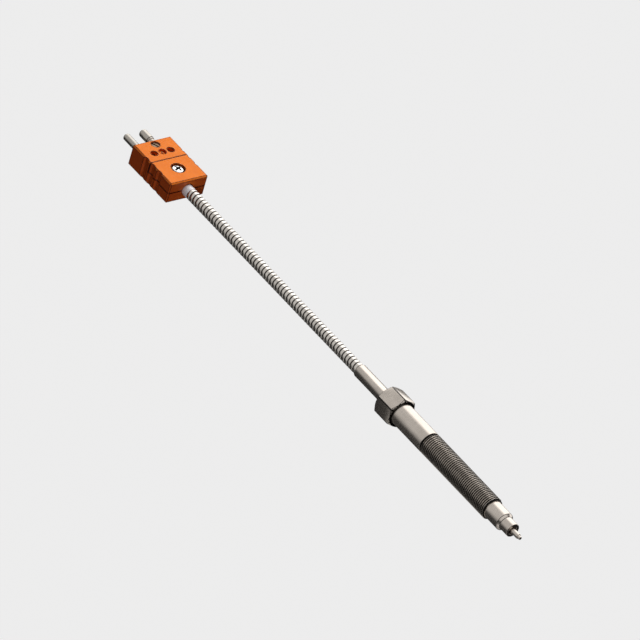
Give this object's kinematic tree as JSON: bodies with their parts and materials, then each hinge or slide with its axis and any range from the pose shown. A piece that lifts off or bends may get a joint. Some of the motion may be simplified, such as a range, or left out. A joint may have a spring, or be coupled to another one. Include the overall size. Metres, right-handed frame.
{
  "type": "screw-in melt thermocouple",
  "caption": "Hollow threaded hexagon bolt with a needle probe, a swivelling stem, a flexible metal conduit and a round-pin thermocouple plug with a screwed cap.",
  "frame": {"origin": "on the bolt's axis at the tip-side end of the full thread", "axes": "+Z along the common axis to the probe's tip; -Y is the way the plug's top and its cap screw face; +X is the side of the thin, positive pin"},
  "size_m": [0.0244, 0.0184, 0.3493],
  "materials": {
    "bolt_steel": "turned stainless steel",
    "probe_steel": "drawn stainless steel",
    "conduit_steel": "rolled stainless strip",
    "ferrule_steel": "bright crimped steel",
    "pin_alloy": "turned thermocouple alloy",
    "screw_steel": "plain steel",
    "cap_screw_plate": "bright plated",
    "plug_plastic": "moulded glass-filled nylon",
    "ceramic": "unglazed",
    "cement": "cast cement",
    "copper": "soft copper",
    "brass": "turned",
    "element_wire": "drawn thermocouple alloy",
    "lead_positive": "extruded insulation",
    "lead_negative": "extruded insulation",
    "rubber": "moulded"
  },
  "bodies": {
    "bolt": {"bolt_body": "bolt_steel", "tip_bush": "ceramic", "seal_washer": "copper", "rear_bush": "brass"},
    "probe": {"probe_sheath": "probe_steel", "mineral_insulation": "ceramic", "positive_wire": "element_wire", "negative_wire": "element_wire", "measuring_junction": "element_wire", "stem_sleeve": "probe_steel", "potting_seal": "cement", "positive_splice": "copper", "negative_splice": "copper", "positive_lead": "lead_positive", "negative_lead": "lead_negative", "conduit": "conduit_steel", "conduit_ferrule": "ferrule_steel", "lead_grommet": "rubber", "plug_base": "plug_plastic", "positive_pin": "pin_alloy", "negative_pin": "pin_alloy", "positive_terminal_screw": "screw_steel", "negative_terminal_screw": "screw_steel", "front_screw": "screw_steel", "screw_insert": "brass"},
    "cap": {"plug_cap": "plug_plastic"},
    "retainer": {"screw_retainer": "rubber"},
    "screw": {"cap_screw": "cap_screw_plate"}
  },
  "joints": [
    {"name": "bolt_swivel", "type": "hinge", "parent": "bolt", "child": "probe", "pos_m": [0, 0, -0.0875], "axis": [0, 0, 1], "continuous": true},
    {"name": "cap_lift", "type": "slide", "parent": "probe", "child": "cap", "axis": [0, -1, 0], "range_m": [0, 0.012]},
    {"name": "screw_back_out", "type": "slide", "parent": "cap", "child": "retainer", "axis": [0, -1, 0], "range_m": [0, 0.0024]},
    {"name": "screw_turn", "type": "hinge", "parent": "retainer", "child": "screw", "pos_m": [0, 0, -0.2861], "axis": [0, -1, 0], "range_deg": [0, 1728]}
  ],
  "couplings": [
    {"joint": "screw_turn", "follows": "screw_back_out", "rad_per_m": 12566}
  ]
}
